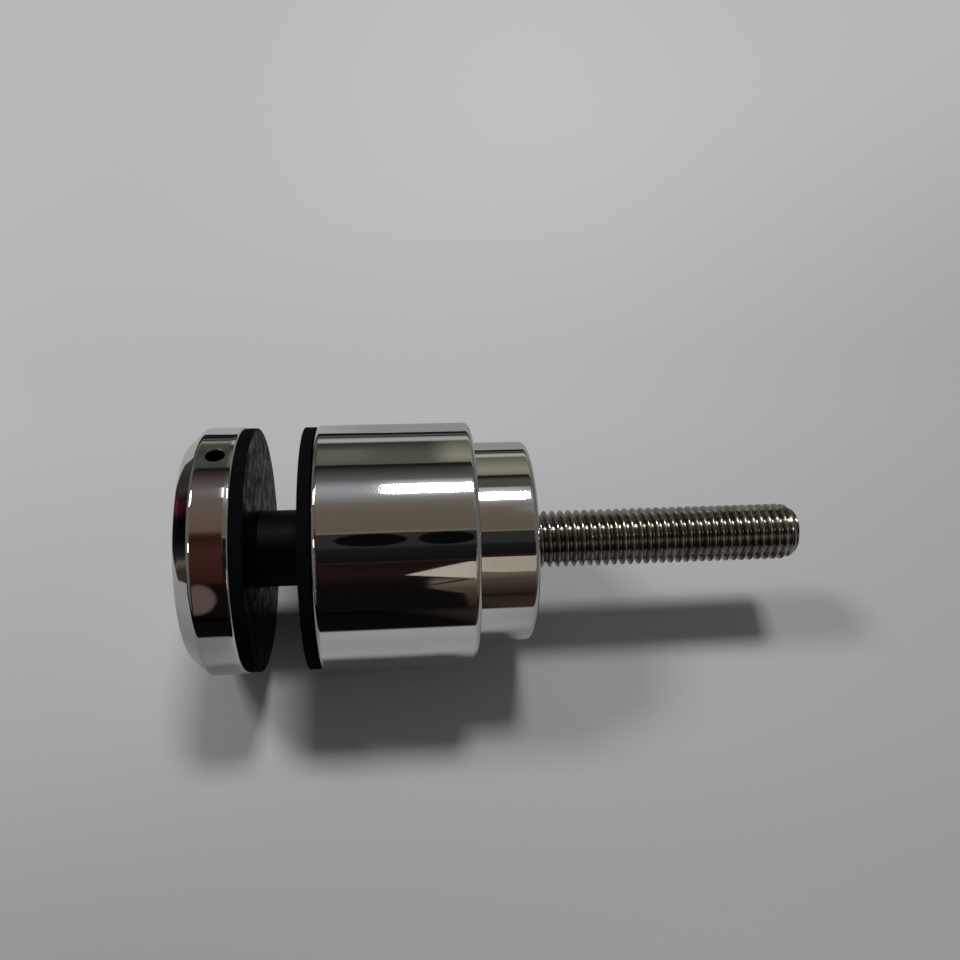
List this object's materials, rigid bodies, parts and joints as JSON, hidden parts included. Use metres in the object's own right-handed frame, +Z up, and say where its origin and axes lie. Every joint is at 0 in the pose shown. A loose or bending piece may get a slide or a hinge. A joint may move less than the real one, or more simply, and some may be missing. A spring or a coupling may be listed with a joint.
{
  "type": "glass panel standoff",
  "caption": "Adjustable wall standoff: a bevelled round cap and a barrel clamp a glass panel between rubber gaskets, on a base with a long threaded stud.",
  "frame": {"origin": "centre of the base's wall face, on the axis", "axes": "+X along the stud into the wall, the cap and the glass towards -X, +Z up as the standoff lies or as it is fixed to an upright wall"},
  "size_m": [0.1259, 0.05, 0.05],
  "materials": {
    "polished_steel": "mirror polished stainless steel",
    "thread_steel": "rolled thread, satin",
    "rubber": "matte black rubber",
    "sleeve_plastic": "satin black plastic"
  },
  "bodies": {
    "wall_base": {"base": "polished_steel", "wall_stud": "thread_steel"},
    "barrel_carrier": {"back_gasket": "rubber"},
    "barrel": {"barrel": "polished_steel"},
    "cap_carrier": {"front_gasket": "rubber", "glass_sleeve": "sleeve_plastic"},
    "cap": {"cap": "polished_steel", "clamp_screw": "thread_steel"}
  },
  "joints": [
    {"name": "barrel_slide", "type": "slide", "parent": "wall_base", "child": "barrel_carrier", "axis": [-1, 0, 0], "range_m": [-0.006, 0.003]},
    {"name": "barrel_turn", "type": "hinge", "parent": "barrel_carrier", "child": "barrel", "pos_m": [-0.0271, 0, 0], "axis": [-1, 0, 0], "range_deg": [-1440, 720]},
    {"name": "cap_slide", "type": "slide", "parent": "barrel", "child": "cap_carrier", "axis": [-1, 0, 0], "range_m": [0, 0.011]},
    {"name": "cap_turn", "type": "hinge", "parent": "cap_carrier", "child": "cap", "pos_m": [-0.0602, 0, 0], "axis": [-1, 0, 0], "range_deg": [0, 2640]}
  ],
  "couplings": [
    {"joint": "barrel_slide", "follows": "barrel_turn", "m_per_rad": 0.00023873},
    {"joint": "cap_slide", "follows": "cap_turn", "m_per_rad": 0.00023873}
  ]
}
